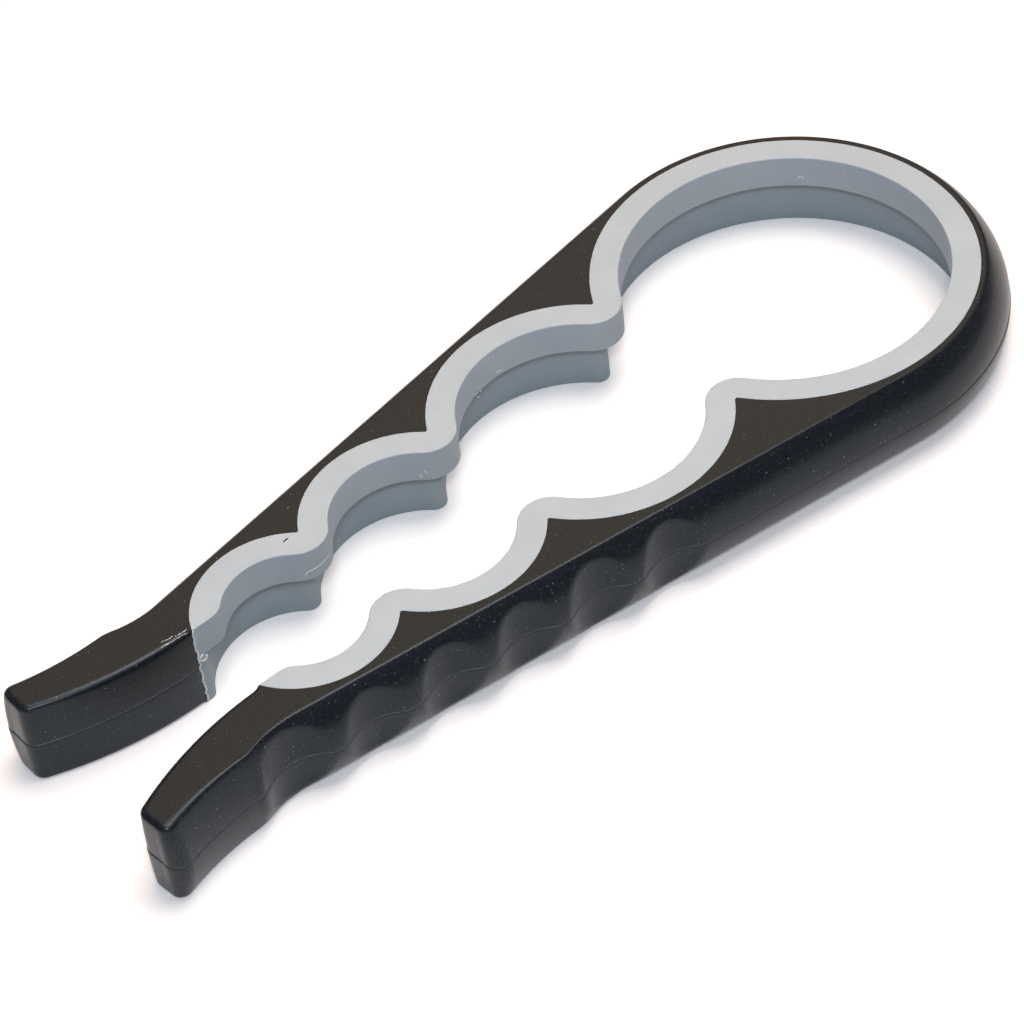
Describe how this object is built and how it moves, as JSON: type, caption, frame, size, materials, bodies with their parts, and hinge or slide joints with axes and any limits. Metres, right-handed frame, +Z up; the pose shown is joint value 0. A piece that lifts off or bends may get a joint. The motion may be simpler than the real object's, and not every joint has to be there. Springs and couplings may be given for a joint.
{
  "type": "multi opener",
  "caption": "Hairpin-shaped springy jar opener with a round ring pocket, smaller lobed pockets between the arms, a soft grey lining and two short flared handles.",
  "frame": {"origin": "middle of the underside, in the plane that the opener lies on, half way between the tips and the bow", "axes": "+X along the length towards the bow, +Y to the far arm, +Z up through the thickness"},
  "size_m": [0.2464, 0.0988, 0.0216],
  "materials": {
    "black_shell": "moulded black plastic with a fine grain and satin rolled edges",
    "grey_lining": "soft matt light grey thermoplastic rubber"
  },
  "bodies": {
    "near_arm": {"near_arm_upper_shell": "black_shell", "near_arm_lower_shell": "black_shell", "near_arm_lining_lip": "grey_lining", "near_arm_lining_skin": "grey_lining", "bow_upper_shell": "black_shell", "bow_lower_shell": "black_shell", "bow_lining_lip": "grey_lining", "bow_lining_skin": "grey_lining"},
    "far_arm": {"far_arm_upper_shell": "black_shell", "far_arm_lower_shell": "black_shell", "far_arm_lining_lip": "grey_lining", "far_arm_lining_skin": "grey_lining"}
  },
  "joints": [
    {"name": "squeeze", "type": "hinge", "parent": "near_arm", "child": "far_arm", "pos_m": [0.1168, 0, 0.0108], "axis": [0, 0, 1], "range_deg": [-4, 5], "stiffness_Nm_per_rad": 5, "deforming": ["bow_upper_shell", "bow_lower_shell", "bow_lining_lip", "bow_lining_skin"]}
  ]
}
